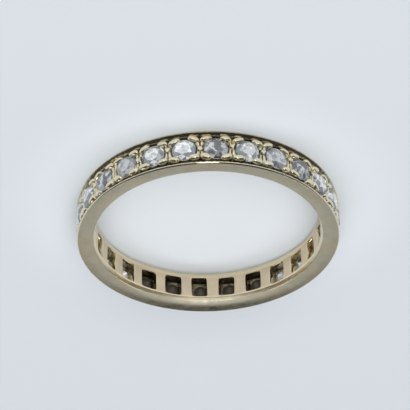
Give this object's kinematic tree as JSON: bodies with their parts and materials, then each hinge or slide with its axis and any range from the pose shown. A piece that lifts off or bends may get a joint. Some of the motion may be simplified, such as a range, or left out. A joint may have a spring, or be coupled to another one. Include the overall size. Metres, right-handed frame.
{
  "type": "eternity ring",
  "caption": "White-gold full eternity ring, round brilliant stones grain-set all round between thin rails, with square windows inside, lying on its side.",
  "frame": {"origin": "on the surface the ring lies on, under the middle of the ring", "axes": "+Z along the ring's axis, up out of the surface; -Y towards the first stone; +X to the right of it"},
  "size_m": [0.0198, 0.0198, 0.003],
  "materials": {
    "white_gold": "warm white gold, polished bed and grains, side faces satin with wear",
    "stone": "polished facets, clear and slightly grey"
  },
  "bodies": {
    "root": {"band": "white_gold", "stone_01": "stone", "stone_02": "stone", "stone_03": "stone", "stone_04": "stone", "stone_05": "stone", "stone_06": "stone", "stone_07": "stone", "stone_08": "stone", "stone_09": "stone", "stone_10": "stone", "stone_11": "stone", "stone_12": "stone", "stone_13": "stone", "stone_14": "stone", "stone_15": "stone", "stone_16": "stone", "stone_17": "stone", "stone_18": "stone", "stone_19": "stone", "stone_20": "stone", "stone_21": "stone", "stone_22": "stone", "stone_23": "stone", "stone_24": "stone", "stone_25": "stone", "stone_26": "stone"}
  },
  "joints": []
}
